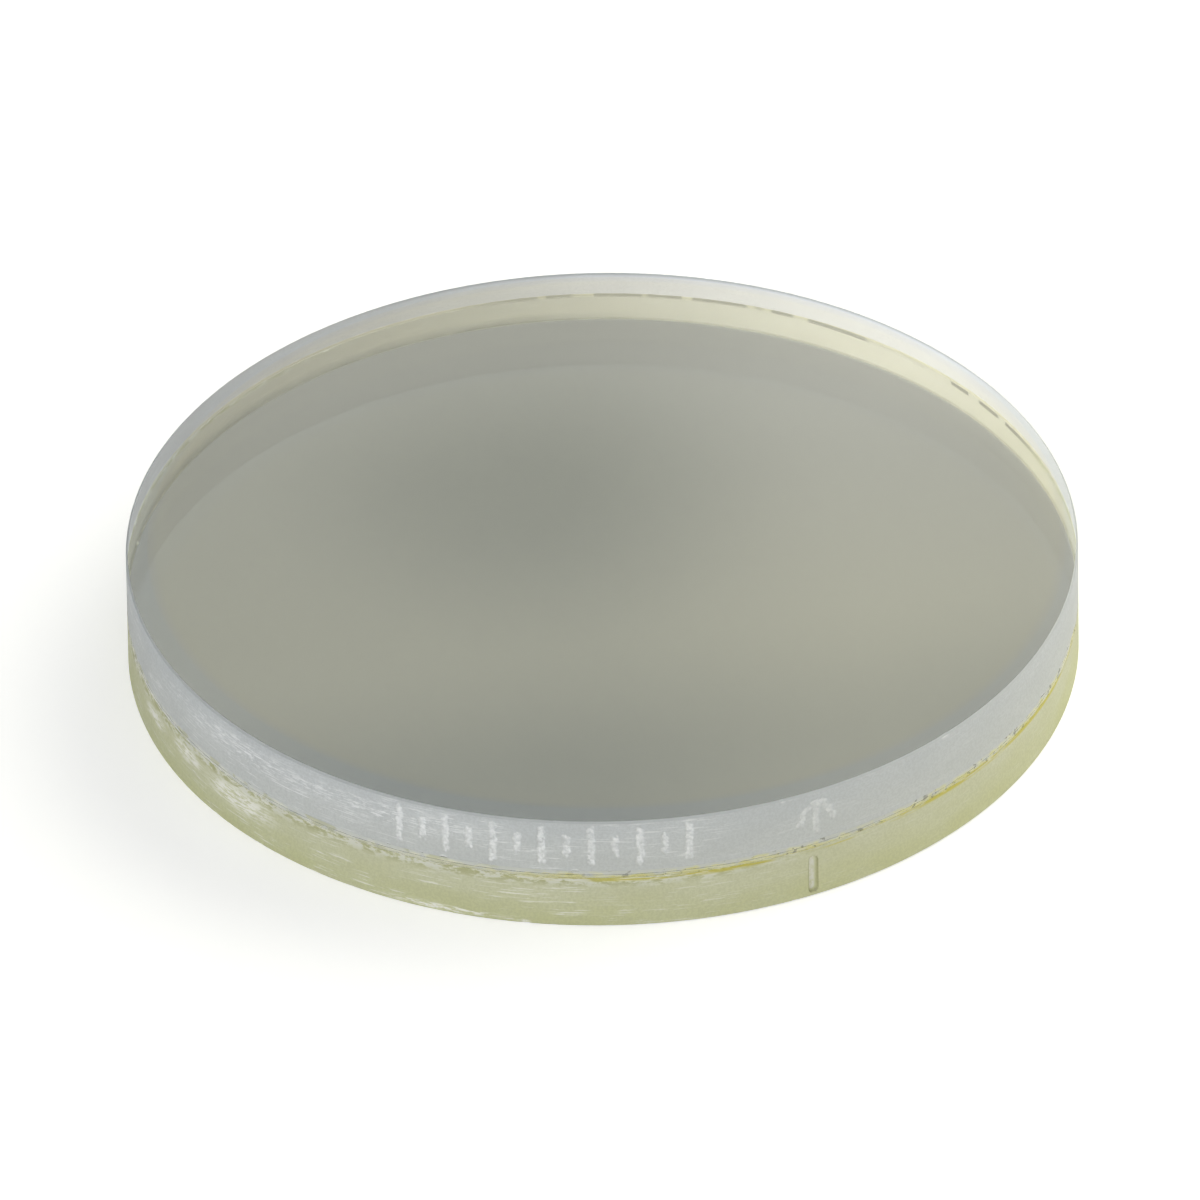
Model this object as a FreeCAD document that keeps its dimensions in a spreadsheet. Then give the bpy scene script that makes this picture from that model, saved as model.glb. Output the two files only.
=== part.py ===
import FreeCAD, Part
import os
import Sketcher

# Circular polarizer: a polarizer film and a quarter-wave film cemented between two glass windows.
# All sizes are in millimetres and degrees. The origin is the centre of the lower window's outer
# face, +Z is the optical axis, and -Y is the front of the rim, from which the axis mark is measured.

doc = FreeCAD.newDocument("circular_polarizer")

# Driving sizes
SIZES = [
    ("disc_diameter", 25.4),
    ("lower_window_thickness", 1.58),
    ("lower_cement_thickness", 0.025),
    ("polarizer_thickness", 0.08),
    ("middle_cement_thickness", 0.025),
    ("retarder_thickness", 0.065),
    ("upper_cement_thickness", 0.025),
    ("upper_window_thickness", 1.58),
    ("lower_arris", 0.05),
    ("upper_arris", 0.05),
    ("axis_mark_angle", 25.5),
    ("axis_mark_width", 0.29),
    ("axis_mark_length", 1.19),
    ("axis_mark_foot", 0.1),
]

sheet = doc.addObject("Spreadsheet::Sheet", "sizes")
for row, (alias, size) in enumerate(SIZES, start=1):
    sheet.set("A%d" % row, alias)
    sheet.set("B%d" % row, str(size))
    sheet.setAlias("B%d" % row, alias)
doc.recompute()

# The stack from the bottom up: each layer and the size that holds its thickness
LAYERS = [
    ("lower_window", "lower_window_thickness"),
    ("lower_cement", "lower_cement_thickness"),
    ("polarizer_film", "polarizer_thickness"),
    ("middle_cement", "middle_cement_thickness"),
    ("retarder_film", "retarder_thickness"),
    ("upper_cement", "upper_cement_thickness"),
    ("upper_window", "upper_window_thickness"),
]

# How closely an edge has to lie at a height to be taken as lying there
HEIGHT_TOLERANCE = 1e-6


def origin_feature(body, role):
    """The body's own origin plane or axis with this role."""
    return next(item for item in body.Origin.OriginFeatures if item.Role == role)


def new_sketch(body, name, plane):
    """An empty sketch on one of the body's origin planes."""
    sketch = body.newObject("Sketcher::SketchObject", name)
    sketch.AttachmentSupport = [(origin_feature(body, plane), "")]
    sketch.MapMode = "FlatFace"
    return sketch


def bind_constraint(sketch, constraint, name, expression):
    """Adds a dimension to the sketch and ties it to the sheet."""
    index = sketch.addConstraint(constraint)
    sketch.renameConstraint(index, name)
    sketch.setExpression("Constraints." + name, expression)


def round_layer(label, thickness, layers_below):
    """A full disc of the stack, seated on the layers below it."""
    body = doc.addObject("PartDesign::Body", label)
    body.Label = label
    outline = new_sketch(body, label + "_outline", "XY_Plane")
    circle = outline.addGeometry(Part.Circle(FreeCAD.Vector(), FreeCAD.Vector(0, 0, 1), 1))
    outline.addConstraint(Sketcher.Constraint("Coincident", circle, 3, -1, 1))
    bind_constraint(outline, Sketcher.Constraint("Diameter", circle, 1), "disc", "sizes.disc_diameter")
    disc = body.newObject("PartDesign::Pad", label + "_disc")
    disc.Profile = outline
    disc.setExpression("Length", "sizes." + thickness)
    if layers_below:
        seat = " + ".join("sizes." + below for below in layers_below)
        body.setExpression("Placement.Base.z", seat)
    doc.recompute()
    return body


def circle_at(shape, height):
    """The name of the shape's circular edge that lies all round at this height."""
    for number, edge in enumerate(shape.Edges, start=1):
        box = edge.BoundBox
        flat = box.ZLength < HEIGHT_TOLERANCE
        if flat and abs(box.ZMin - height) < HEIGHT_TOLERANCE:
            return "Edge%d" % number
    raise RuntimeError("no edge at height %g" % height)


def break_edge(body, height, size):
    """The small safety bevel ground on a window's outer edge."""
    disc = body.Tip
    bevel = body.newObject("PartDesign::Chamfer", body.Label + "_bevel")
    bevel.Base = (disc, [circle_at(disc.Shape, height)])
    bevel.setExpression("Size", "sizes." + size)
    doc.recompute()


def cut_axis_mark(body):
    """The upright groove that a ball-ended cutter leaves in the rim, at the film's axis.

    Its profile is half of the cutter's path, revolved about the upright line where the rim is.
    """
    profile = new_sketch(body, "axis_mark_profile", "YZ_Plane")
    profile.setExpression("AttachmentOffset.Base.x", "-sizes.disc_diameter / 2")
    profile.setExpression("AttachmentOffset.Base.y", "sizes.axis_mark_foot")
    radius = sheet.get("axis_mark_width") / 2
    length = sheet.get("axis_mark_length")
    foot = FreeCAD.Vector(0, 0)
    low = FreeCAD.Vector(radius, radius)
    high = FreeCAD.Vector(radius, length - radius)
    head = FreeCAD.Vector(0, length)
    diagonal = radius * 0.5 ** 0.5
    low_middle = FreeCAD.Vector(diagonal, radius - diagonal)
    high_middle = FreeCAD.Vector(diagonal, length - radius + diagonal)
    low_arc = profile.addGeometry(Part.Arc(foot, low_middle, low))
    side = profile.addGeometry(Part.LineSegment(low, high))
    high_arc = profile.addGeometry(Part.Arc(high, high_middle, head))
    axis = profile.addGeometry(Part.LineSegment(head, foot))
    for constraint in [
        Sketcher.Constraint("Tangent", low_arc, 2, side, 1),
        Sketcher.Constraint("Tangent", side, 2, high_arc, 1),
        Sketcher.Constraint("Coincident", high_arc, 2, axis, 1),
        Sketcher.Constraint("Coincident", axis, 2, low_arc, 1),
        Sketcher.Constraint("Coincident", low_arc, 1, -1, 1),
        Sketcher.Constraint("PointOnObject", low_arc, 3, -2),
        Sketcher.Constraint("PointOnObject", high_arc, 3, -2),
        Sketcher.Constraint("Vertical", axis),
    ]:
        profile.addConstraint(constraint)
    cutter = Sketcher.Constraint("Radius", low_arc, radius)
    bind_constraint(profile, cutter, "cutter", "sizes.axis_mark_width / 2")
    reach = Sketcher.Constraint("DistanceY", axis, 2, axis, 1, length)
    bind_constraint(profile, reach, "reach", "sizes.axis_mark_length")
    doc.recompute()
    solid_before = body.Shape.Volume
    groove = body.newObject("PartDesign::Groove", "axis_mark_groove")
    groove.Profile = profile
    groove.ReferenceAxis = (profile, ["V_Axis"])
    groove.Angle = 360
    doc.recompute()
    if body.Shape.Volume >= solid_before:
        raise RuntimeError("the axis mark cuts nothing")
    # The window is turned so that the mark meets the film's axis, as it is cemented
    body.setExpression("Placement.Rotation.Angle", "sizes.axis_mark_angle")
    doc.recompute()


bodies = {}
thicknesses = [thickness for label, thickness in LAYERS]
for place, (label, thickness) in enumerate(LAYERS):
    bodies[label] = round_layer(label, thickness, thicknesses[:place])

break_edge(bodies["lower_window"], 0, "lower_arris")
cut_axis_mark(bodies["lower_window"])
break_edge(bodies["upper_window"], sheet.get("upper_window_thickness"), "upper_arris")

doc.recompute()
for item in doc.Objects:
    if "Invalid" in item.State or "Error" in item.State:
        raise RuntimeError("%s failed: %s" % (item.Name, item.State))

os.makedirs("parts", exist_ok=True)
for label, body in bodies.items():
    if body.Shape.isNull() or not body.Shape.isValid():
        raise RuntimeError("%s has no valid shape" % label)
    body.Shape.exportStep("parts/%s.step" % label)
    box = body.Shape.BoundBox
    print("%s %.4f mm3, z %.4f to %.4f" % (label, body.Shape.Volume, box.ZMin, box.ZMax))
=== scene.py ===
import math

import bpy
import numpy as np
from mathutils import Matrix, Vector


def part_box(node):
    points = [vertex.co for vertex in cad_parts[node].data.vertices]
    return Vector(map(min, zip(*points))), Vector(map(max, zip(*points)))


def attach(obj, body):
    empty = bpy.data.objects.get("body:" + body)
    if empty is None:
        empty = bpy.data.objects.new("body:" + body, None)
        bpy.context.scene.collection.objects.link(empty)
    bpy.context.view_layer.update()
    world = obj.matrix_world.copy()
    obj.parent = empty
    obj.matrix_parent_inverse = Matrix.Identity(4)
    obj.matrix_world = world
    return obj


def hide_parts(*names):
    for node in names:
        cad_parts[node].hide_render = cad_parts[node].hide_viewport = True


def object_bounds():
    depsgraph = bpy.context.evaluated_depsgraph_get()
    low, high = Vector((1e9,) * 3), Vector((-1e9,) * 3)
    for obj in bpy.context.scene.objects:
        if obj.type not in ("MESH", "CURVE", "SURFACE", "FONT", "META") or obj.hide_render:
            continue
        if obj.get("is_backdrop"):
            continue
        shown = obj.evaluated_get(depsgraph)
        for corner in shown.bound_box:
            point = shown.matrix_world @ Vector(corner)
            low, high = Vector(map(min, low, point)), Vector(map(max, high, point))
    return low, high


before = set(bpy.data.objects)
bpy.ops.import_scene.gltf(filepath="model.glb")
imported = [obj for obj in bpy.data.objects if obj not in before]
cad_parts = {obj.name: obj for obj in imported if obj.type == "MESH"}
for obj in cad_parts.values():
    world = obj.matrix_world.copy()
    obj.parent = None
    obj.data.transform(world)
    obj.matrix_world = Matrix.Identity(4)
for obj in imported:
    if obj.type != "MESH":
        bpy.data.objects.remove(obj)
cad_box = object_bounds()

# Lengths are in metres unless a name says mm. Angles round the rim are in degrees from the front,
# which faces -Y, towards +X.
MM = 0.001

# Camera: a very long lens, turned a little as the photograph is
CAMERA_DISTANCE = 1.0
CAMERA_ELEVATION = math.radians(35.42)
CAMERA_ROLL = math.radians(-0.88)
PICTURE_WIDTH = 1200
PIXELS_PER_MM = 37.42
ORIGIN_PIXEL = (603.4, 647.6)
SENSOR_WIDTH_MM = 36
CAMERA_CLIP = (0.01, 10.0)

# Marks on the rim
AXIS_MARK_ANGLE = 25.5
AXIS_MARK_WIDTH_MM = 0.29
AXIS_MARK_LENGTH_MM = 1.19
AXIS_MARK_FOOT_MM = 0.1
ARROW_ANGLE = 26.0
ARROW_FOOT_MM = 0.24
ARROW_HEIGHT_MM = 0.96
ARROW_HALF_WIDTH_MM = 0.49
BARB_DROP_MM = 0.62
BARB_POINTS = 7
BARS_FIRST_ANGLE = -25.5
BARS_LAST_ANGLE = 9.9
BARS_COUNT = 13
BARS_FOOT_MM = 0.24
LONG_BAR_MM = 1.14
SHORT_BAR_MM = 0.6

# Burnt dots: their places, sizes as shares of the radius, depth, and how white they are
DOT_SPACING_MM = 0.04
DOTS_PER_STEP = 3
DOT_SCATTER_MM = 0.08
DOT_RADIUS_MM = 0.06
DOT_SIZES = (0.6, 1.1)
DOT_DEPTH_MM = 0.035
DOT_WHITE_GAIN = 2
ARROW_WHITENESS = (0.2, 0.75)
BAR_WHITENESS = (0.25, 1.0)

# How white the groove is, and how wide its olive outline of painted shade
GROOVE_FROST = 1.0
GROOVE_OUTLINE_MM = 0.045

# Chips along an edge. Their heights are shares of their widths, and their bites of the smaller one.
SEAM_CHIPS = 90
FREE_EDGE_CHIPS = 18
CHIP_WIDTH_MM = (0.03, 0.09)
CHIP_STRETCHES = (1, 1, 1, 1, 1.8)
CHIP_HEIGHTS = (0.4, 0.9)
CHIP_BITES = (0.1, 0.22)
CHIP_WHITE_MM = 0.015

UPPER_SEED = 11
LOWER_SEED = 23

# Grid steps round the rim, in degrees, and up the rim, in mm
COARSE_STEP = 0.5
MARKS_STEP = 0.1
MARKS_SPAN = (-28.0, 29.0)
GROOVE_STEP = 0.05
GROOVE_SPAN = (24.4, 26.6)
ROW_STEP_MM = 0.025

# The plain polygon in the middle of a flat face: its sides, and its radius as a share of the face's
HUB_SIDES = 36
HUB_SHARE = 0.95

BEVEL = 0.05 * MM

# Thin gap that keeps the tinted film clear of the cement's faces
FILM_GAP = 0.004 * MM

# Material slots of a round solid's faces
POLISHED, RIM, EDGE, CEMENTED = range(4)

GLASS_IOR = 1.52

# Halfway between the two values of a node that says no or yes
SWITCH_POINT = 0.5

# The antireflection coating stops short of the edge, a little off centre. A fine line runs inside
# its edge, from the first of its two distances to the second.
COATED_RADIUS_MM = 12.24
COATED_CENTRE_MM = (0.14, 0.2)
COATING_BLUR_MM = 0.06
COATING_LINE_MM = (0.25, 0.05)
COATING_LINE_STRENGTH = 0.6

# What each polished face and each face of the dyed film lets through, as linear shares
BARE_GLASS = (0.79, 0.88, 1.0)
COATING_LINE = (0.78, 0.83, 0.9)
COATED_GLASS = (0.96, 0.97, 0.85)
COATED_GLASS_SMEAR = (0.93, 0.95, 0.84)
# The bottom face lets little through: the dyed film's dimming together with painted shade of the floor
# under the disc
LOWER_FACE_DIMMING_AND_SHADE = (0.147, 0.153, 0.141)
FILM_PASS = (0.92, 0.925, 0.9)

# Colours of the ground rims and of the layers' edges, as linear shares. A rim's inside colour is its look
# from within the glass, a copy with painted light and shade.
UPPER_RIM = {
    "top": (0.76, 0.785, 0.82),
    "foot": (0.77, 0.79, 0.8),
    "inside": (0.755, 0.75, 0.76),
    "white": (0.97, 0.98, 1.0),
}
LOWER_RIM = {
    "top": (0.82, 0.82, 0.6),
    "foot": (0.77, 0.78, 0.46),
    "inside": (0.78, 0.755, 0.68),
    "white": (1.0, 0.99, 0.9),
}
BEVEL_GREY = (0.68, 0.71, 0.74)
# Painted shade on the rims seen from inside: at the top (EDGE_SHADE) and at the foot (FOOT_SHADE)
EDGE_SHADE = (0.32, 0.34, 0.39)
FOOT_SHADE = (0.42, 0.42, 0.38)
# Painted shade along the groove's edge
GROOVE_OUTLINE_SHADE = (0.5, 0.49, 0.28)
PATCH_WHITE = (0.97, 0.98, 1.0)
STREAK_YELLOW = (0.74, 0.68, 0.16)
STREAK_PALE = (0.92, 0.92, 0.82)
STREAK_OLIVE = (0.62, 0.62, 0.36)
LAYER_PALE = (0.97, 0.97, 0.92)
LAYER_CREAM = (0.93, 0.92, 0.68)
LAYER_YELLOW = (0.88, 0.84, 0.4)
LAYER_INSIDE = (0.7, 0.68, 0.54)
LAYER_DARK = (0.16, 0.15, 0.1)
DASH_DARK = (0.27, 0.26, 0.2)

# How ground glass scatters, and how rough it and its bumps are
RIM_TRANSLUCENCY = 0.52
MARK_TRANSLUCENCY = 0.22
RIM_ROUGHNESS = 0.55
RIM_ROUGHNESS_SPREAD = 0.08
LAYER_ROUGHNESS = 0.45
RIM_BUMP_MM = 0.008
LINES_IN_BUMP, GRAIN_IN_BUMP = 0.6, 0.4

# Noises, as Look.noise takes them
GRINDING_LINES = {"scale": 2.2, "stretch": (0.35, 0.35, 9), "detail": 3, "roughness": 0.6}
GRAIN = {"scale": 14.0, "detail": 2, "roughness": 0.6}
PATCHES = {"scale": 0.5, "stretch": (1, 1, 2.5), "detail": 2, "offset": (7, 3, 1)}
NEEDLES = {"scale": 3.0, "detail": 3, "roughness": 0.65, "offset": (1, 2, 0)}
RIM_FLECKS = {"scale": 1.6, "stretch": (0.7, 0.7, 16), "detail": 3, "roughness": 0.65, "offset": (3, 1, 0)}
SEAM_STREAKS = {"scale": 1.0, "stretch": (0.5, 0.5, 9), "detail": 3, "roughness": 0.6, "offset": (4, 4, 2)}
SEAM_FLECKS = {"scale": 2.2, "stretch": (1, 1, 2.6), "detail": 4, "roughness": 0.7, "offset": (8, 1, 5)}
LAYER_STREAKS = {"scale": 1.1, "stretch": (1, 1, 5), "detail": 3, "roughness": 0.6, "offset": (2, 5, 0)}
LAYER_SPECKS = {"scale": 5.0, "detail": 2, "roughness": 0.6, "offset": (4, 0, 2)}
LAYER_WAVES = {"scale": 2.5, "stretch": (1, 1, 2), "detail": 2, "offset": (6, 1, 3)}
LAYER_STAINS = {"scale": 1.8, "stretch": (1, 1, 2), "detail": 2, "offset": (1, 1, 1)}
DASH_BREAKS = {"scale": 1.15, "stretch": (1, 1, 0), "detail": 1, "offset": (0, 3, 0)}
COATING_SMEAR = {"scale": 0.12, "detail": 3}

# Sides of the disc: the azimuth faced, and the angles from it at which the side starts to fade and ends
WORN_SIDE = (-48, 38, 78)
# Where the painted light and shade on the rims' inside lie: light at the back right, shade at the top at
# the back, least shade at the foot at the back right
BRIGHT_INSIDE_SIDE = (156, 12, 42)
TOP_SHADE_SIDE = (165, 20, 55)
PALE_FOOT_SIDE = (135, 25, 60)
YELLOW_SEAM_SIDE = (42, 34, 60)
FLECKED_SEAM_SIDE = (-60, 60, 95)
SMEARED_SEAM_SIDE = (104, 8, 17)
CREAM_LAYER_SIDE = (60, 40, 120)
YELLOW_LAYER_SIDE = (50, 45, 75)
STAINED_LAYER_SIDE = (-70, 40, 75)
SPECKED_LAYER_SIDE = (50, 40, 60)
DASHED_SIDE = (155, 35, 45)

# Ramps, with the shares and strengths that go with them. Each ramp is the span of its value and,
# where that isn't 0 to 1, of its result. Heights are in mm.
PATCH_WHITENING = (0.3, 0.7, 0, 0.12)
GRAIN_SHADING = (0.35, 0.65, 0, 0.22)
GRAIN_SHADE = 0.7
SPOT_CORE = 0.3
FLECKS_BY_SIDE = (0, 1, 0.25, 0.8)
FLECKS_SHOWN = (0.58, 0.63)
FLECKS_IN_PATCHES = (0.4, 0.54)
FROST_IN_GRAIN = (0.38, 0.56, 0.5, 1)
ROUGHNESS_IN_GRAIN = (0.2, 0.8)
# Painted light and shade on the rims' inside: the levels of its dim and lit sides, and the spans of the
# shade at its top and foot
INSIDE_DIM = (0.95, 0.95, 0.95)
INSIDE_BRIGHT = (1.06, 1.06, 1.12)
TOP_SHADE_HEIGHTS = (3.02, 3.28)
TOP_SHADE_BY_SIDE = (0, 1, 0.1, 1)
FOOT_SHADE_HEIGHTS = (0.65, 0)
FOOT_SHADE_BY_SIDE = (0, 1, 0.75, 0.15)
YELLOW_SEAM_HEIGHTS = (1.42, 1.51)
YELLOW_SEAM_SHOWN = (0.42, 0.53)
FLECKED_SEAM_HEIGHTS = (1.2, 1.5)
OLIVE_FLECKS_SHOWN = (0.53, 0.43)
PALE_FLECKS_SHOWN = (0.49, 0.56)
SMEAR_HEIGHTS = (1.1, 1.4)
SMEAR_SHOWN = (0.4, 0.5)
SMEAR_STRENGTH = 0.7
LAYER_WAVE_LIFT = (0.3, 0.7, -0.08, 0.08)
LAYER_FADE_HEIGHTS = (1.62, 1.76)
LAYER_FADE = 0.8
YELLOW_LAYER_SHOWN = (0.44, 0.6)
STAINS_SHOWN = (0.5, 0.6)
STAIN_STRENGTH = 0.5
SPECKS_SHOWN = (0.6, 0.66)
SPECK_STRENGTH = 0.55

# Where the rim is worn white: azimuth, height and half width in mm, and height over width
WORN_UPPER = [(-68, 2.3, 0.8, 0.3), (-52, 2.75, 5.0, 0.11), (-28, 2.8, 4.5, 0.1)]
WORN_LOWER = [(-70, 1.05, 1.0, 0.3), (-61, 1.15, 1.1, 0.3), (-50, 1.05, 1.9, 0.27), (-20, 0.16, 2.2, 0.06)]
UPPER_SCRATCHES = {"stretch": (1.0, 1.0, 8), "shown": (0.545, 0.58), "strength": 0.8}
LOWER_SCRATCHES = {"stretch": (0.9, 0.9, 6.5), "shown": (0.47, 0.5), "strength": 1.0}

# The dark dashes at the back of the seam. Heights are in mm, and places in mm to the right.
DASH_HEIGHT = 1.69
DASH_SINK = 0.3
DASH_SINK_SPAN = (4.0, 12.0)
DASH_HALF_HEIGHT = 0.18
DASH_CORE = 0.4
DASHES_SHOWN = (0.39, 0.45)
DASH_GAP_MIDDLE = 8.2
DASH_GAP_HALF = 1.1
DASH_GAP_BLUR = 0.2
DASH_IN_GAP = 0.15
DASH_DEEPENING = (-6, 9, 0.5, 0.95)
DASH_FROM_OUTSIDE = 0.12

# Stage and light
FLOOR_SIZE = 4.0
FLOOR_GAP = 0.02 * MM
FLOOR_COLOUR = (0.68, 0.68, 0.68)
FLOOR_GLOW = 0.5
COOL_LIGHT = (0.93, 0.96, 1.0)
WARM_LIGHT = (1.0, 0.985, 0.86)
ROOM_LEVEL = 0.4

# What the room adds round the disc: azimuth, elevation, where its lobe starts, and its level
ROOM_LOBES = [
    (125, 10, 0.45, 3.7),
    (243, 10, 0.0, -0.95),
    (-42, 10, 0.45, 2.1),
]

# The softbox whose reflection lies on the top face: its parts' spans there, and their levels
REFLECTED_DISTANCE = 0.1
REFLECTED_SIZE = 0.09
DIM_CENTRE = (-2.2 * MM, 3.0 * MM)
DIM_RADII = (1.0 * MM, 9.0 * MM)
BRIGHT_RIGHT = (-2.0 * MM, 9.0 * MM)
BRIGHT_BACK = (3.0 * MM, 10.0 * MM)
PATTERN_RADII = (14.0 * MM, 22.0 * MM)
DIM_LEVEL = 0.12
RING_LEVEL = 0.82
RIGHT_LEVEL = 1.0
BACK_LEVEL = 0.42
DIM_FRONT_AZIMUTH = 12
DIM_FRONT = (4.0 * MM, 11.5 * MM)
DIM_FRONT_LEVEL = -1.0
WARM_REFLECTION = (1.0, 0.93, 0.66)
PLAIN_REFLECTION = (1.0, 0.97, 0.88)
WARM_FRONT = (-6.0 * MM, 9.0 * MM)
TRANSPARENT_BOUNCES = 64


def arc_mm(degrees, radius):
    """Length in mm along the rim."""
    return np.radians(degrees) * radius / MM


def rim_angles(*spans):
    """Angles of the rim's columns: an even coarse step with finer spans in it."""
    angles = np.arange(-180, 180, COARSE_STEP)
    for start, end, step in spans:
        angles = angles[(angles < start) | (angles > end)]
        angles = np.concatenate([angles, np.arange(start, end, step)])
    return np.sort(angles)


def segment_distance(along, up, start, end):
    """Distance of each grid point from a line on the unrolled rim."""
    ax, ay = start
    bx, by = end
    dx, dy = bx - ax, by - ay
    share = np.clip(((along - ax) * dx + (up - ay) * dy) / (dx * dx + dy * dy), 0, 1)
    return np.hypot(along - ax - share * dx, up - ay - share * dy)


def dotted_line(points, whiteness, rng):
    """Scattered dots along a line of points on the unrolled rim, as a laser burns them."""
    dots = []
    for (ax, ay), (bx, by) in zip(points, points[1:]):
        count = max(int(math.hypot(bx - ax, by - ay) / DOT_SPACING_MM), 1)
        for share in (np.arange(count) + 0.5) / count:
            x, y = ax + (bx - ax) * share, ay + (by - ay) * share
            for _ in range(DOTS_PER_STEP):
                dx, dy = rng.uniform(-DOT_SCATTER_MM, DOT_SCATTER_MM, 2)
                size = DOT_RADIUS_MM * rng.uniform(*DOT_SIZES)
                dots.append((x + dx, y + dy, size, rng.uniform(*whiteness)))
    return dots


def arrow_lines(radius):
    """The arrow that gives the direction of light: a stem and two curved barbs."""
    centre = arc_mm(ARROW_ANGLE, radius)
    foot, tip = ARROW_FOOT_MM, ARROW_FOOT_MM + ARROW_HEIGHT_MM
    turns = np.linspace(0, math.pi / 2, BARB_POINTS)
    barb = [(ARROW_HALF_WIDTH_MM * math.sin(t), BARB_DROP_MM * (math.cos(t) - 1)) for t in turns]
    left = [(centre - x, tip + y) for x, y in barb]
    right = [(centre + x, tip + y) for x, y in barb]
    return [[(centre, foot), (centre, tip)], left, right]


def bar_lines(radius):
    """A plain row of long and short bars."""
    lines = []
    for i, angle in enumerate(np.linspace(BARS_FIRST_ANGLE, BARS_LAST_ANGLE, BARS_COUNT)):
        x = arc_mm(angle, radius)
        length = SHORT_BAR_MM if i % 2 else LONG_BAR_MM
        foot = BARS_FOOT_MM + (LONG_BAR_MM - length) / 2
        lines.append([(x, foot), (x, foot + length)])
    return lines


def dot_relief(along, up, dots):
    """Depth in mm of burnt dots, and how white they leave the glass, from 0 to 1."""
    depth = np.zeros_like(along)
    frost_and_shade = np.zeros_like(along)
    for x, y, size, whiteness in dots:
        near = np.abs(along[:, 0] - x) < size
        part = 1 - ((along[near] - x) ** 2 + (up[near] - y) ** 2) / size**2
        depth[near] = np.maximum(depth[near], DOT_DEPTH_MM * np.clip(part, 0, None))
        frost_and_shade[near] = np.maximum(frost_and_shade[near], whiteness * np.clip(DOT_WHITE_GAIN * part, 0, 1))
    return depth, frost_and_shade


def chip_relief(along, up, edge, rng, count, girth_mm):
    """Depth in mm of small chips along one edge of the rim."""
    depth = np.zeros_like(along)
    for _ in range(count):
        centre = rng.uniform(-girth_mm / 2, girth_mm / 2)
        wide = rng.uniform(*CHIP_WIDTH_MM) * rng.choice(CHIP_STRETCHES)
        high = wide * rng.uniform(*CHIP_HEIGHTS)
        bite = min(wide, high) * rng.uniform(*CHIP_BITES)
        near = np.abs(along[:, 0] - centre) < wide
        part = 1 - ((along[near] - centre) / wide) ** 2 - ((up[near] - edge) / high) ** 2
        depth[near] = np.maximum(depth[near], bite * np.clip(part, 0, None))
    return depth


def ring_points(angles, radii, height):
    """Points of one ring of a round solid."""
    turn = np.radians(angles)
    return np.stack([np.sin(turn) * radii, -np.cos(turn) * radii, np.full(len(angles), height)], 1)


def flat_cap(angles, ring_start, hub_start):
    """Faces of a flat end: a plain polygon in the middle, joined to the ring round it."""
    columns = len(angles)
    side_of = np.round(np.mod(angles, 360) * HUB_SIDES / 360).astype(int) % HUB_SIDES
    faces = [[hub_start + side for side in range(HUB_SIDES)]]
    for column in range(columns):
        after = (column + 1) % columns
        side, next_side = int(side_of[column]), int(side_of[after])
        faces.append([ring_start + column, ring_start + after, hub_start + side])
        if side != next_side:
            faces.append([ring_start + after, hub_start + next_side, hub_start + side])
    return faces


def disc_mesh(name, rings, angles, materials, slots, attributes):
    """A closed round solid from rings listed from the top face's edge to the bottom face's edge.

    Each ring is (radii, height), and slots gives the material of the top face, of each band between
    two rings, and of the bottom face. Attributes hold one value a point, ring by ring.
    """
    columns = len(angles)
    points = [ring_points(angles, radii, height) for radii, height in rings]
    here = np.arange(columns)
    following = np.roll(here, -1)
    bands = []
    for row in range(len(rings) - 1):
        upper, lower = row * columns, (row + 1) * columns
        band = [upper + here, lower + here, lower + following, upper + following]
        bands.append(np.stack(band, 1).tolist())
    hub_angles = np.arange(0, 360, 360 / HUB_SIDES)
    caps = []
    top_hub = columns * len(rings)
    for ring, hub_start in ((0, top_hub), (len(rings) - 1, top_hub + HUB_SIDES)):
        radii, height = rings[ring]
        points.append(ring_points(hub_angles, HUB_SHARE * np.min(radii), height))
        caps.append(flat_cap(angles, ring * columns, hub_start))
    caps[1] = [face[::-1] for face in caps[1]]
    groups = [caps[0], *bands, caps[1]]
    mesh = bpy.data.meshes.new(name)
    mesh.from_pydata(np.concatenate(points).tolist(), [], [face for group in groups for face in group])
    for material in materials:
        mesh.materials.append(material)
    face_slots = np.repeat(slots, [len(group) for group in groups])
    mesh.polygons.foreach_set("material_index", face_slots)
    mesh.polygons.foreach_set("use_smooth", face_slots == RIM)
    for title, values in attributes.items():
        layer = mesh.attributes.new(title, "FLOAT", "POINT")
        layer.data.foreach_set("value", np.append(values, np.zeros(2 * HUB_SIDES)).astype(np.float32))
    piece = bpy.data.objects.new(name, mesh)
    bpy.context.scene.collection.objects.link(piece)
    return piece


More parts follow.
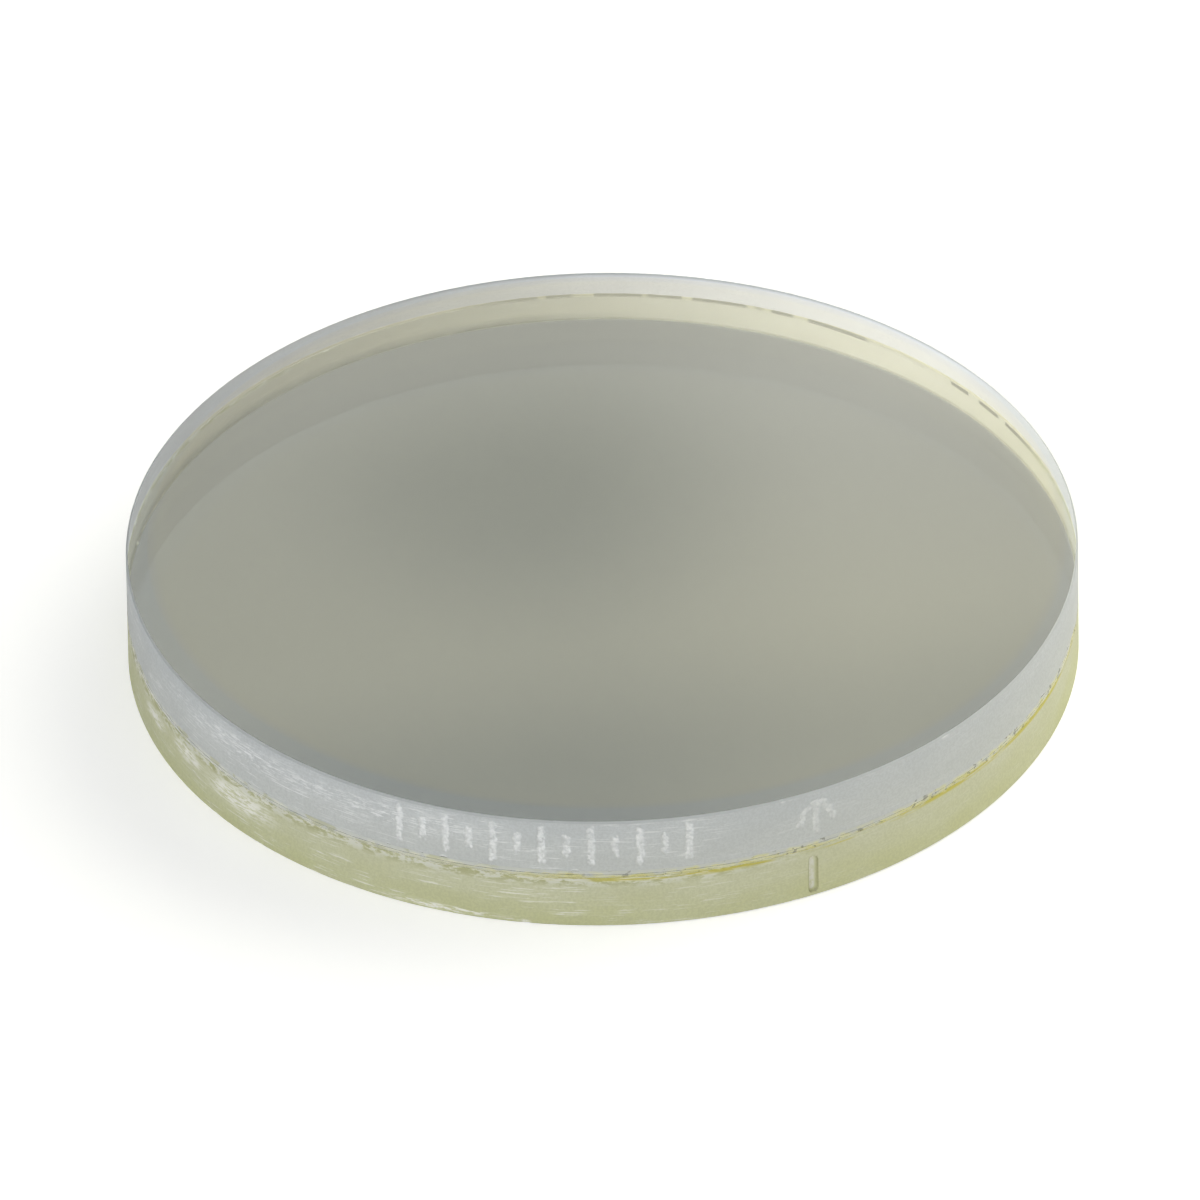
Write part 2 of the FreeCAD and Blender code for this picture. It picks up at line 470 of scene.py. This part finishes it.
def add_window(name, node, polished_up, angles, relief, materials):
    """A glass window over a CAD window: same form, with its marks and chips cut in the rim.

    relief is a function of (along, up, radius, rows) on the unrolled rim, in mm.
    """
    low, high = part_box(node)
    radius = high.x
    thick_mm = (high.z - low.z) / MM
    rows = np.linspace(thick_mm - BEVEL / MM, 0, round(thick_mm / ROW_STEP_MM))
    if not polished_up:
        rows = np.linspace(thick_mm, BEVEL / MM, round(thick_mm / ROW_STEP_MM))
    along, up = np.meshgrid(arc_mm(angles, radius), rows, indexing="ij")
    depth, frost_and_shade = relief(along, up, radius, rows)
    rings = [(radius - depth[:, i] * MM, low.z + z * MM) for i, z in enumerate(rows)]
    edge = 0 if polished_up else -1
    face_ring = (radius - BEVEL - depth[:, edge] * MM, high.z if polished_up else low.z)
    ring_whiteness_and_shade = [frost_and_shade[:, i] for i in range(len(rows))]
    bands = [RIM] * (len(rows) - 1)
    if polished_up:
        rings.insert(0, face_ring)
        ring_whiteness_and_shade.insert(0, frost_and_shade[:, 0])
        slots = [POLISHED, EDGE, *bands, CEMENTED]
    else:
        rings.append(face_ring)
        ring_whiteness_and_shade.append(frost_and_shade[:, -1])
        slots = [CEMENTED, *bands, EDGE, POLISHED]
    piece = disc_mesh(name, rings, angles, materials, slots, {"frost_and_shade": np.concatenate(ring_whiteness_and_shade)})
    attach(piece, "root")
    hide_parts(node)


def upper_relief(along, up, radius, rows):
    """Arrow, row of bars and edge chips of the upper window."""
    rng = np.random.default_rng(UPPER_SEED)
    dots = [dot for line in arrow_lines(radius) for dot in dotted_line(line, ARROW_WHITENESS, rng)]
    dots += [dot for line in bar_lines(radius) for dot in dotted_line(line, BAR_WHITENESS, rng)]
    depth, frost_and_shade = dot_relief(along, up, dots)
    edges = [(rows[0], FREE_EDGE_CHIPS), (rows[-1], SEAM_CHIPS)]
    return with_chips(along, up, depth, frost_and_shade, radius, edges, rng)


def lower_relief(along, up, radius, rows):
    """Axis groove and edge chips of the lower window. Frost is below 0 in the groove's outline, which is
    painted shade.
    """
    rng = np.random.default_rng(LOWER_SEED)
    cutter = AXIS_MARK_WIDTH_MM / 2
    x = arc_mm(AXIS_MARK_ANGLE, radius)
    ends = (AXIS_MARK_FOOT_MM + cutter, AXIS_MARK_FOOT_MM + AXIS_MARK_LENGTH_MM - cutter)
    distance = segment_distance(along, up, (x, ends[0]), (x, ends[1]))
    depth = np.sqrt(np.clip(cutter**2 - distance**2, 0, None))
    # Below 0 in the outline: painted shade along the groove's edge
    frost_and_shade = GROOVE_FROST * np.clip((cutter - distance) / GROOVE_OUTLINE_MM - 1, -1, 1)
    frost_and_shade[distance > cutter] = 0
    edges = [(rows[0], SEAM_CHIPS), (rows[-1], FREE_EDGE_CHIPS)]
    return with_chips(along, up, depth, frost_and_shade, radius, edges, rng)


def with_chips(along, up, depth, frost_and_shade, radius, edges, rng):
    """Adds the chips of both edges, given as (height, count), to a rim's relief."""
    girth = 2 * math.pi * radius / MM
    for edge, count in edges:
        chips = chip_relief(along, up, edge, rng, count, girth)
        frost_and_shade = np.where(chips > 0, np.clip(chips / CHIP_WHITE_MM, 0, 1), frost_and_shade)
        depth = np.maximum(depth, chips)
    return depth, frost_and_shade


class Nodes:
    """Short calls for the nodes that the looks and the light share."""

    def __init__(self, tree):
        self.tree = tree

    def put(self, socket, value):
        """Links a socket to another, or sets its plain value."""
        if isinstance(value, bpy.types.NodeSocket):
            self.tree.links.new(value, socket)
        elif isinstance(value, tuple) and socket.type == "RGBA":
            socket.default_value = (*value, 1)
        else:
            socket.default_value = value

    def vector(self, operation, a, b):
        node = self.tree.nodes.new("ShaderNodeVectorMath")
        node.operation = operation
        self.put(node.inputs[0], a)
        self.put(node.inputs[1], b)
        return node.outputs["Value" if operation in ("LENGTH", "DISTANCE", "DOT_PRODUCT") else "Vector"]

    def math(self, operation, a, b=0.0, clamp=False):
        node = self.tree.nodes.new("ShaderNodeMath")
        node.operation = operation
        node.use_clamp = clamp
        self.put(node.inputs[0], a)
        self.put(node.inputs[1], b)
        return node.outputs[0]

    def combined(self, x, y):
        node = self.tree.nodes.new("ShaderNodeCombineXYZ")
        self.put(node.inputs["X"], x)
        self.put(node.inputs["Y"], y)
        return node.outputs[0]

    def mix(self, share, a, b):
        """Colour a where share is 0, and b where it is 1."""
        node = self.tree.nodes.new("ShaderNodeMix")
        node.data_type = "RGBA"
        self.put(node.inputs["Factor"], share)
        colours = [socket for socket in node.inputs if socket.type == "RGBA"]
        self.put(colours[0], a)
        self.put(colours[1], b)
        return next(socket for socket in node.outputs if socket.type == "RGBA")

    def times(self, *values):
        product = values[0]
        for value in values[1:]:
            product = self.math("MULTIPLY", product, value)
        return product

    def ramp(self, value, low, high, start=0.0, end=1.0):
        """Maps low to high onto start to end, held at both ends."""
        node = self.tree.nodes.new("ShaderNodeMapRange")
        node.interpolation_type = "SMOOTHSTEP"
        for socket, number in zip(node.inputs, (value, low, high, start, end)):
            self.put(socket, number)
        return node.outputs["Result"]


class Look(Nodes):
    """A node material."""

    def __init__(self, name):
        self.material = bpy.data.materials.new(name)
        self.material.use_nodes = True
        super().__init__(self.material.node_tree)
        self.tree.nodes.clear()
        self.output = self.tree.nodes.new("ShaderNodeOutputMaterial")
        place = self.tree.nodes.new("ShaderNodeTexCoord").outputs["Object"]
        self.place_mm = self.vector("MULTIPLY", place, (1 / MM, 1 / MM, 1 / MM))

    def noise(self, scale, stretch=(1, 1, 1), detail=2.0, roughness=0.5, offset=(0, 0, 0)):
        """Noise with so many features a mm, stretched along the axes."""
        node = self.tree.nodes.new("ShaderNodeTexNoise")
        moved = self.vector("ADD", self.vector("MULTIPLY", self.place_mm, stretch), offset)
        self.put(node.inputs["Vector"], moved)
        self.put(node.inputs["Scale"], scale)
        self.put(node.inputs["Detail"], detail)
        self.put(node.inputs["Roughness"], roughness)
        return node.outputs["Fac"]

    def attribute(self, name):
        node = self.tree.nodes.new("ShaderNodeAttribute")
        node.attribute_name = name
        return node.outputs["Fac"]

    def facing_up(self):
        """1 on the flat faces and 0 on the rim."""
        node = self.tree.nodes.new("ShaderNodeNewGeometry")
        height = self.tree.nodes.new("ShaderNodeSeparateXYZ")
        self.put(height.inputs[0], node.outputs["True Normal"])
        return self.math("GREATER_THAN", self.math("ABSOLUTE", height.outputs["Z"]), SWITCH_POINT)

    def backfacing(self):
        """1 where a face is seen from inside the solid."""
        return self.tree.nodes.new("ShaderNodeNewGeometry").outputs["Backfacing"]

    def bump(self, height, depth_mm):
        node = self.tree.nodes.new("ShaderNodeBump")
        node.inputs["Strength"].default_value = 1.0
        node.inputs["Distance"].default_value = depth_mm * MM
        self.put(node.inputs["Height"], height)
        return node.outputs["Normal"]

    def principled(self, **inputs):
        node = self.tree.nodes.new("ShaderNodeBsdfPrincipled")
        for name, value in inputs.items():
            self.put(node.inputs[name.replace("_", " ")], value)
        return node.outputs["BSDF"]

    def side(self, azimuth, near, far):
        """1 on the side of the disc that faces an azimuth, falling to 0 between two angles from it."""
        turn = math.radians(azimuth)
        toward = (math.sin(turn), -math.cos(turn), 0)
        reach = self.vector("DOT_PRODUCT", self.place_mm, toward)
        starts, full = (cad_box[1][0] / MM * math.cos(math.radians(angle)) for angle in (far, near))
        return self.ramp(reach, starts, full)

    def spot(self, azimuth, height, half_width, flatness):
        """1 in a patch of the rim, falling to 0 at its edge; flatness is its height over its width."""
        turn = math.radians(azimuth)
        radius = cad_box[1][0] / MM
        centre = (-radius * math.sin(turn), radius * math.cos(turn), -height)
        away = self.vector("MULTIPLY", self.vector("ADD", self.place_mm, centre), (1, 1, 1 / flatness))
        return self.ramp(self.vector("LENGTH", away, (0, 0, 0)), half_width * SPOT_CORE, half_width, 1, 0)

    def dashes(self):
        """Broken dark line along the seam at the back, sinking a little to the right."""
        across = self.vector("DOT_PRODUCT", self.place_mm, (1, 0, 0))
        middle = self.ramp(across, *DASH_SINK_SPAN, DASH_HEIGHT, DASH_HEIGHT - DASH_SINK)
        off = self.math("ABSOLUTE", self.math("SUBTRACT", self.height_mm(), middle))
        line = self.ramp(off, DASH_HALF_HEIGHT * DASH_CORE, DASH_HALF_HEIGHT, 1, 0)
        broken = self.ramp(self.noise(**DASH_BREAKS), *DASHES_SHOWN)
        from_gap = self.math("ABSOLUTE", self.math("SUBTRACT", across, DASH_GAP_MIDDLE))
        gap = self.ramp(from_gap, DASH_GAP_HALF - DASH_GAP_BLUR, DASH_GAP_HALF, DASH_IN_GAP, 1)
        depth = self.ramp(across, *DASH_DEEPENING)
        from_inside = self.ramp(self.backfacing(), 0, 1, DASH_FROM_OUTSIDE, 1)
        return self.times(line, self.side(*DASHED_SIDE), broken, gap, depth, from_inside)

    def height_mm(self):
        parts = self.tree.nodes.new("ShaderNodeSeparateXYZ")
        self.put(parts.inputs[0], self.place_mm)
        return parts.outputs["Z"]

    def translucent(self, colour):
        node = self.tree.nodes.new("ShaderNodeBsdfTranslucent")
        self.put(node.inputs["Color"], colour)
        return node.outputs["BSDF"]

    def transparent(self, colour):
        node = self.tree.nodes.new("ShaderNodeBsdfTransparent")
        self.put(node.inputs["Color"], colour)
        return node.outputs["BSDF"]

    def glass(self, colour):
        """Polished glass that lets this colour through."""
        return self.principled(Base_Color=colour, Roughness=0.0, IOR=GLASS_IOR, Transmission_Weight=1.0)

    def scattering(self, colour, roughness, normal=None, translucency=RIM_TRANSLUCENCY):
        """Ground glass or a layer's edge: light is partly thrown back and partly let through."""
        shape = {} if normal is None else {"Normal": normal}
        solid = self.principled(Base_Color=colour, Roughness=roughness, IOR=GLASS_IOR, **shape)
        return self.blend(translucency, solid, self.translucent(colour))

    def blend(self, share, a, b):
        """Shader a where share is 0, and b where it is 1."""
        node = self.tree.nodes.new("ShaderNodeMixShader")
        self.put(node.inputs[0], share)
        self.put(node.inputs[1], a)
        self.put(node.inputs[2], b)
        return node.outputs["Shader"]

    def done(self, shader):
        self.put(self.output.inputs["Surface"], shader)
        return self.material


def coated_glass(name):
    """Top face: clear glass, tinted where it is coated, with a fine line where the coating ends."""
    look = Look(name)
    flat = look.vector("MULTIPLY", look.place_mm, (1, 1, 0))
    reach = look.vector("DISTANCE", flat, (*COATED_CENTRE_MM, 0))
    inside = look.ramp(reach, COATED_RADIUS_MM - COATING_BLUR_MM, COATED_RADIUS_MM + COATING_BLUR_MM, 1, 0)
    starts, full = (COATED_RADIUS_MM - distance for distance in COATING_LINE_MM)
    line = look.times(inside, look.ramp(reach, starts, full, 0, COATING_LINE_STRENGTH))
    smear = look.noise(**COATING_SMEAR)
    colour = look.mix(inside, BARE_GLASS, look.mix(smear, COATED_GLASS, COATED_GLASS_SMEAR))
    return look.done(look.glass(look.mix(line, colour, COATING_LINE)))


def plain_glass(name, colour):
    """Bottom face: polished and even, with a dark tint that holds the film's dimming and painted shade of
    the floor under the disc.
    """
    look = Look(name)
    return look.done(look.glass(colour))


def ground_rim(name, node, colours, worn_patches, scratches, seam_up):
    """Ground rim: scattering glass with grinding lines, white scratches and whitened marks.

    seam_up tells whether the cemented seam is at the rim's upper edge.
    """
    look = Look(name)
    height = look.height_mm()
    grain = look.noise(**GRAIN)
    patches = look.noise(**PATCHES)
    colour = rim_tone(look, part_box(node), colours, height, grain, patches)
    if seam_up:
        colour = seam_streaks(look, colour, height)
    frost_and_shade = look.attribute("frost_and_shade")
    # Painted shade: the olive outline round the groove, where frost is below 0
    colour = look.mix(look.math("MULTIPLY", frost_and_shade, -1.0, clamp=True), colour, GROOVE_OUTLINE_SHADE)
    marks = look.times(frost_and_shade, look.ramp(grain, *FROST_IN_GRAIN))
    white = look.math("MAXIMUM", rim_wear(look, worn_patches, scratches, patches), marks)
    colour = look.mix(white, colour, colours["white"])
    if seam_up:
        colour = look.mix(look.dashes(), colour, DASH_DARK)
    lines = look.noise(**GRINDING_LINES)
    bumps = look.math("ADD", look.times(lines, LINES_IN_BUMP), look.times(grain, GRAIN_IN_BUMP))
    normal = look.bump(bumps, RIM_BUMP_MM)
    smooth, rough = RIM_ROUGHNESS - RIM_ROUGHNESS_SPREAD, RIM_ROUGHNESS + RIM_ROUGHNESS_SPREAD
    roughness = look.ramp(grain, *ROUGHNESS_IN_GRAIN, smooth, rough)
    # Crushed glass throws more light back than it lets through
    translucency = look.ramp(white, 0, 1, RIM_TRANSLUCENCY, MARK_TRANSLUCENCY)
    return look.done(look.scattering(colour, roughness, normal, translucency))


def rim_tone(look, box, colours, height, grain, patches):
    """The rim's colour before streaks and marks, from outside and from inside, where it carries painted
    light and shade.
    """
    low, high = box
    tone = look.mix(look.ramp(height, low.z / MM, high.z / MM), colours["foot"], colours["top"])
    # From inside, the rim takes a copy of its colour with painted light and shade
    tone = look.mix(look.backfacing(), tone, inner_painted_light_and_shade(look, colours["inside"], height))
    tone = look.mix(look.ramp(patches, *PATCH_WHITENING), tone, PATCH_WHITE)
    shade = tuple(share * GRAIN_SHADE for share in colours["foot"])
    return look.mix(look.ramp(grain, *GRAIN_SHADING), tone, shade)


def rim_wear(look, worn_patches, scratches, patches):
    """How white the rim is worn: scratches in the worn patches, and flecks, most at the left."""
    worn = 0.0
    for patch in worn_patches:
        worn = look.math("MAXIMUM", worn, look.spot(*patch))
    needle = look.noise(**NEEDLES, stretch=scratches["stretch"])
    scratched = look.times(worn, look.ramp(needle, *scratches["shown"]), scratches["strength"])
    worn_side = look.ramp(look.side(*WORN_SIDE), *FLECKS_BY_SIDE)
    fleck = look.ramp(look.noise(**RIM_FLECKS), *FLECKS_SHOWN)
    flecks = look.times(worn_side, fleck, look.ramp(patches, *FLECKS_IN_PATCHES))
    return look.math("MAXIMUM", scratched, flecks)


def inner_painted_light_and_shade(look, inside, height):
    """The rim's colour from inside, with painted light and shade: brighter at the back right, darker at
    its top and foot.
    """
    dim, bright = (
        tuple(share * gain for share, gain in zip(inside, gains))
        for gains in (INSIDE_DIM, INSIDE_BRIGHT)
    )
    tone = look.mix(look.side(*BRIGHT_INSIDE_SIDE), dim, bright)
    top_side = look.ramp(look.side(*TOP_SHADE_SIDE), *TOP_SHADE_BY_SIDE)
    tone = look.mix(look.times(look.ramp(height, *TOP_SHADE_HEIGHTS), top_side), tone, EDGE_SHADE)
    foot_side = look.ramp(look.side(*PALE_FOOT_SIDE), *FOOT_SHADE_BY_SIDE)
    return look.mix(look.times(look.ramp(height, *FOOT_SHADE_HEIGHTS), foot_side), tone, FOOT_SHADE)


def seam_streaks(look, tone, height):
    """Cement smeared over the top of the lower rim: yellow at the right, white at the left."""
    fleck = look.noise(**SEAM_FLECKS)
    wide = look.times(look.side(*FLECKED_SEAM_SIDE), look.ramp(height, *FLECKED_SEAM_HEIGHTS))
    tone = look.mix(look.times(wide, look.ramp(fleck, *OLIVE_FLECKS_SHOWN)), tone, STREAK_OLIVE)
    tone = look.mix(look.times(wide, look.ramp(fleck, *PALE_FLECKS_SHOWN)), tone, STREAK_PALE)
    smeared = look.times(look.side(*SMEARED_SEAM_SIDE), look.ramp(height, *SMEAR_HEIGHTS))
    smear = look.times(smeared, look.ramp(fleck, *SMEAR_SHOWN), SMEAR_STRENGTH)
    tone = look.mix(smear, tone, STREAK_OLIVE)
    streak = look.ramp(look.noise(**SEAM_STREAKS), *YELLOW_SEAM_SHOWN)
    thin = look.times(look.side(*YELLOW_SEAM_SIDE), look.ramp(height, *YELLOW_SEAM_HEIGHTS), streak)
    return look.mix(thin, tone, STREAK_YELLOW)


def bevel(name):
    """The fine bevel of the top face, a shade darker than the rim."""
    look = Look(name)
    return look.done(look.scattering(BEVEL_GREY, RIM_ROUGHNESS))


def cemented_face(name):
    """Face that cement fills: nothing shows where glass, cement and film meet."""
    look = Look(name)
    return look.done(look.transparent((1, 1, 1)))


def layer_edge(look):
    """The edge of a film or cement layer: pale at the left, yellow with dark specks at the right."""
    wave = look.ramp(look.noise(**LAYER_WAVES), *LAYER_WAVE_LIFT)
    height = look.math("ADD", look.height_mm(), wave)
    fade_from, fade_to = LAYER_FADE_HEIGHTS
    colour = look.mix(look.side(*CREAM_LAYER_SIDE), LAYER_PALE, LAYER_CREAM)
    colour = look.mix(look.ramp(height, fade_from, fade_to, 0, LAYER_FADE), colour, UPPER_RIM["foot"])
    streaks = look.ramp(look.noise(**LAYER_STREAKS), *YELLOW_LAYER_SHOWN)
    yellow = look.times(look.side(*YELLOW_LAYER_SIDE), streaks, look.ramp(height, fade_to, fade_from))
    colour = look.mix(yellow, colour, LAYER_YELLOW)
    stains = look.ramp(look.noise(**LAYER_STAINS), *STAINS_SHOWN)
    stained = look.times(look.side(*STAINED_LAYER_SIDE), stains, STAIN_STRENGTH)
    colour = look.mix(stained, colour, STREAK_OLIVE)
    colour = look.mix(look.backfacing(), colour, LAYER_INSIDE)
    specks = look.ramp(look.noise(**LAYER_SPECKS), *SPECKS_SHOWN)
    dark = look.times(look.side(*SPECKED_LAYER_SIDE), specks, SPECK_STRENGTH)
    colour = look.mix(dark, colour, LAYER_DARK)
    colour = look.mix(look.dashes(), colour, DASH_DARK)
    return look.scattering(colour, LAYER_ROUGHNESS)


def layer_look(name):
    """A clear layer inside the stack, seen only at its edge."""
    look = Look(name)
    return look.done(look.blend(look.facing_up(), layer_edge(look), look.transparent((1, 1, 1))))


def film_face(name):
    """The dyed film's face, which takes its share of the light each way."""
    look = Look(name)
    return look.done(look.transparent(FILM_PASS))


def film_edge(name):
    """The dyed film's edge, which looks as the other layers' edges do."""
    look = Look(name)
    return look.done(layer_edge(look))


def add_polarizer_sheet(face, edge):
    """The dyed film, a hair clear of the cement so that its faces show evenly."""
    low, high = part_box("polarizer_film")
    angles = rim_angles()
    top, bottom = high.z - FILM_GAP, low.z + FILM_GAP
    rings = [(high.x, top), (high.x, bottom)]
    slots = [POLISHED, RIM, POLISHED]
    piece = disc_mesh("polarizer_sheet", rings, angles, [face, edge], slots, {})
    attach(piece, "root")
    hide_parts("polarizer_film")


def add_camera():
    """The photograph's view: the object's origin falls on its pixel there."""
    back = Vector((0, -math.cos(CAMERA_ELEVATION), math.sin(CAMERA_ELEVATION)))
    level = Vector((1, 0, 0))
    upright = back.cross(level)
    right = level * math.cos(CAMERA_ROLL) + upright * math.sin(CAMERA_ROLL)
    up = upright * math.cos(CAMERA_ROLL) - level * math.sin(CAMERA_ROLL)
    aside = (PICTURE_WIDTH / 2 - ORIGIN_PIXEL[0]) / PIXELS_PER_MM * MM
    above = (ORIGIN_PIXEL[1] - PICTURE_WIDTH / 2) / PIXELS_PER_MM * MM
    data = bpy.data.cameras.new("camera")
    data.sensor_width = SENSOR_WIDTH_MM
    data.lens = PIXELS_PER_MM * CAMERA_DISTANCE / MM * SENSOR_WIDTH_MM / PICTURE_WIDTH
    data.clip_start, data.clip_end = CAMERA_CLIP
    camera = bpy.data.objects.new("camera", data)
    place = back * CAMERA_DISTANCE + right * aside + up * above
    camera.matrix_world = Matrix.Translation(place) @ Matrix((right, up, back)).transposed().to_4x4()
    bpy.context.scene.collection.objects.link(camera)
    bpy.context.scene.camera = camera


def add_stage():
    """A plain white floor, just under the object."""
    mesh = bpy.data.meshes.new("floor")
    size = FLOOR_SIZE / 2
    corners = [(-size, -size), (size, -size), (size, size), (-size, size)]
    mesh.from_pydata([(x, y, -FLOOR_GAP) for x, y in corners], [], [(0, 1, 2, 3)])
    floor = bpy.data.objects.new("floor", mesh)
    bpy.context.scene.collection.objects.link(floor)
    look = Look("white_card")
    card = look.tree.nodes.new("ShaderNodeBsdfDiffuse")
    look.put(card.inputs["Color"], FLOOR_COLOUR)
    glow = look.tree.nodes.new("ShaderNodeEmission")
    look.put(glow.inputs["Color"], (1, 1, 1))
    look.put(glow.inputs["Strength"], look.times(seen_directly(look.tree), FLOOR_GLOW))
    both = look.tree.nodes.new("ShaderNodeAddShader")
    look.put(both.inputs[0], card.outputs[0])
    look.put(both.inputs[1], glow.outputs[0])
    mesh.materials.append(look.done(both.outputs[0]))
    floor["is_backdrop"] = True


def seen_directly(tree):
    """1 where the camera sees a thing, also in a reflection or through glass, and 0 for its light."""
    path = tree.nodes.new("ShaderNodeLightPath").outputs
    nodes = Nodes(tree)
    seen = nodes.math("MAXIMUM", path["Is Camera Ray"], path["Is Glossy Ray"])
    seen = nodes.math("MAXIMUM", seen, path["Is Transmission Ray"])
    scattered = nodes.math("ADD", path["Is Diffuse Ray"], path["Diffuse Depth"])
    return nodes.times(seen, nodes.math("LESS_THAN", scattered, SWITCH_POINT))


def add_world():
    """Studio light with stronger and weaker sides, cool at the left and warm at the right, on white."""
    world = bpy.data.worlds.new("studio")
    bpy.context.scene.world = world
    world.use_nodes = True
    tree = world.node_tree
    tree.nodes.clear()
    nodes = Nodes(tree)
    direction = tree.nodes.new("ShaderNodeTexCoord").outputs["Generated"]
    level = ROOM_LEVEL
    for azimuth, elevation, start, gain in ROOM_LOBES:
        turn, lift = math.radians(azimuth), math.radians(elevation)
        toward = (math.sin(turn) * math.cos(lift), -math.cos(turn) * math.cos(lift), math.sin(lift))
        lobe = nodes.ramp(nodes.vector("DOT_PRODUCT", direction, toward), start, 1, 0, gain)
        level = nodes.math("ADD", lobe, level)
    level = nodes.math("MAXIMUM", level, 0.0)
    across = nodes.ramp(nodes.vector("DOT_PRODUCT", direction, (1, 0, 0)), -1, 1)
    room = tree.nodes.new("ShaderNodeBackground")
    nodes.put(room.inputs["Color"], nodes.mix(across, COOL_LIGHT, WARM_LIGHT))
    nodes.put(room.inputs["Strength"], level)
    white = tree.nodes.new("ShaderNodeBackground")
    white.inputs["Color"].default_value = (1, 1, 1, 1)
    mixed = tree.nodes.new("ShaderNodeMixShader")
    tree.links.new(seen_directly(tree), mixed.inputs[0])
    tree.links.new(room.outputs[0], mixed.inputs[1])
    tree.links.new(white.outputs[0], mixed.inputs[2])
    output = tree.nodes.new("ShaderNodeOutputWorld")
    tree.links.new(mixed.outputs[0], output.inputs["Surface"])


def add_softbox(name, place, target, size, level):
    """A square softbox aimed at a point, as bright as level times a white card."""
    data = bpy.data.lights.new(name, "AREA")
    data.shape = "SQUARE"
    data.size = size
    data.energy = math.pi * size**2 * level
    lamp = bpy.data.objects.new(name, data)
    away = Vector(place) - Vector(target)
    lamp.matrix_world = Matrix.Translation(place) @ away.to_track_quat("Z", "Y").to_matrix().to_4x4()
    lamp.visible_transmission = False
    lamp.visible_diffuse = False
    bpy.context.scene.collection.objects.link(lamp)
    return data


def add_reflected_softbox():
    """The softbox above and behind, uneven as its reflection on the top face is."""
    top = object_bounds()[1][2]
    along = Vector((0, math.cos(CAMERA_ELEVATION), math.sin(CAMERA_ELEVATION)))
    place = Vector((0, 0, top)) + along * REFLECTED_DISTANCE
    data = add_softbox("reflected_softbox", place, (0, 0, top), REFLECTED_SIZE, 1.0)
    data.use_nodes = True
    look = Nodes(data.node_tree)
    # Each point of the lamp is taken along its beam to the top face
    slope = 1 / math.tan(CAMERA_ELEVATION)
    point = data.node_tree.nodes.new("ShaderNodeNewGeometry").outputs["Position"]
    x = look.vector("DOT_PRODUCT", point, (1, 0, 0))
    y = look.math("ADD", look.vector("DOT_PRODUCT", point, (0, 1, -slope)), top * slope)
    on_face = look.combined(x, y)
    from_dim = look.vector("DISTANCE", on_face, (*DIM_CENTRE, 0))
    level = look.ramp(from_dim, *DIM_RADII, DIM_LEVEL, DIM_LEVEL + RING_LEVEL)
    level = look.math("ADD", level, look.ramp(x, *BRIGHT_RIGHT, 0, RIGHT_LEVEL))
    level = look.math("ADD", level, look.ramp(y, *BRIGHT_BACK, 0, BACK_LEVEL))
    turn = math.radians(DIM_FRONT_AZIMUTH)
    reach = look.vector("DOT_PRODUCT", on_face, (math.sin(turn), -math.cos(turn), 0))
    level = look.math("ADD", level, look.ramp(reach, *DIM_FRONT, 0, DIM_FRONT_LEVEL))
    level = look.math("MAXIMUM", level, 0.0)
    pattern = look.ramp(look.vector("LENGTH", on_face, (0, 0, 0)), *PATTERN_RADII, 1, 0)
    level = look.math("ADD", look.times(pattern, look.math("SUBTRACT", level, 1.0)), 1.0)
    emission = data.node_tree.nodes["Emission"]
    look.put(emission.inputs["Strength"], level)
    tint = look.mix(look.ramp(y, *WARM_FRONT), WARM_REFLECTION, PLAIN_REFLECTION)
    look.put(emission.inputs["Color"], tint)


add_camera()
add_stage()
add_world()
add_reflected_softbox()

bpy.context.scene.view_settings.view_transform = "Standard"
bpy.context.scene.cycles.transparent_max_bounces = TRANSPARENT_BOUNCES

top_face = coated_glass("coated_glass")
bottom_face = plain_glass("lower_glass_face", LOWER_FACE_DIMMING_AND_SHADE)
cemented = cemented_face("cemented_face")
top_bevel = bevel("upper_bevel")
upper_rim = ground_rim("upper_ground_rim", "upper_window", UPPER_RIM, WORN_UPPER, UPPER_SCRATCHES, False)
lower_rim = ground_rim("lower_ground_rim", "lower_window", LOWER_RIM, WORN_LOWER, LOWER_SCRATCHES, True)
add_window(
    "upper_disc", "upper_window", True, rim_angles((*MARKS_SPAN, MARKS_STEP)),
    upper_relief, [top_face, upper_rim, top_bevel, cemented],
)
add_window(
    "lower_disc", "lower_window", False, rim_angles((*GROOVE_SPAN, GROOVE_STEP)),
    lower_relief, [bottom_face, lower_rim, lower_rim, cemented],
)
add_polarizer_sheet(film_face("dyed_film_face"), film_edge("dyed_film_edge"))
edge_look = layer_look("layer_edge")
for node in ("lower_cement", "middle_cement", "upper_cement", "retarder_film"):
    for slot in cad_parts[node].material_slots:
        slot.material = edge_look
